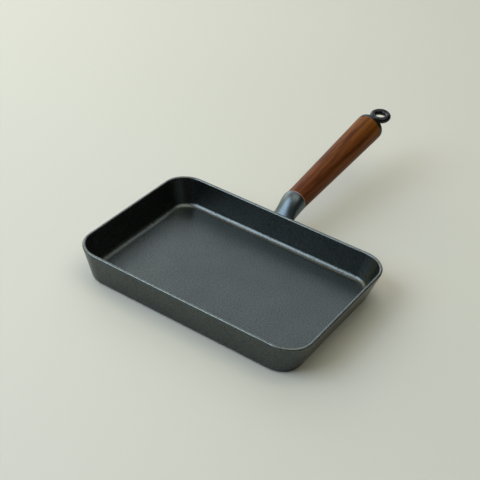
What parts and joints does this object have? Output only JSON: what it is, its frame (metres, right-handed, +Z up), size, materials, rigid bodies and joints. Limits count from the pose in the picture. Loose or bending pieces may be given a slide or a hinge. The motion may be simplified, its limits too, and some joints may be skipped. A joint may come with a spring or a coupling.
{
  "type": "tamagoyaki pan",
  "caption": "Rectangular omelette pan with drafted walls, a screwed wooden handle on a metal neck and a hanging ring, for rolling omelettes on a stove.",
  "frame": {"origin": "centre of the flat base that the pan stands on", "axes": "+Z up, +Y from the pan along its handle, +X along the pan's long side to the right"},
  "size_m": [0.215, 0.3356, 0.0627],
  "materials": {
    "nonstick_aluminium": "cast aluminium with a satin charcoal non-stick coat, finely speckled inside",
    "satin_neck": "satin slate blue-grey",
    "walnut": "oiled dark reddish-brown wood, grain along the handle",
    "gasket": "matt",
    "black_enamel": "gloss black",
    "steel": "zinc-plated"
  },
  "bodies": {
    "pan": {"pan_body": "nonstick_aluminium", "neck_ferrule": "satin_neck", "wooden_handle": "walnut", "heat_gasket": "gasket", "thread_insert": "steel", "locating_pin": "steel", "tie_rod": "steel", "rod_washer": "steel", "lock_washer": "steel", "barrel_nut": "steel"},
    "cap": {"end_cap": "black_enamel"},
    "ring": {"hanging_ring": "black_enamel"}
  },
  "joints": [
    {"name": "cap_slide", "type": "slide", "parent": "pan", "child": "cap", "axis": [0, 0.9916, 0.1291], "range_m": [0, 0.006]},
    {"name": "ring_turn", "type": "hinge", "parent": "cap", "child": "ring", "pos_m": [0, 0.22626, 0.04914], "axis": [0, 0.9916, 0.1291], "range_deg": [0, 2700]}
  ],
  "couplings": [
    {"joint": "ring_turn", "follows": "cap_slide", "rad_per_m": 7854}
  ]
}
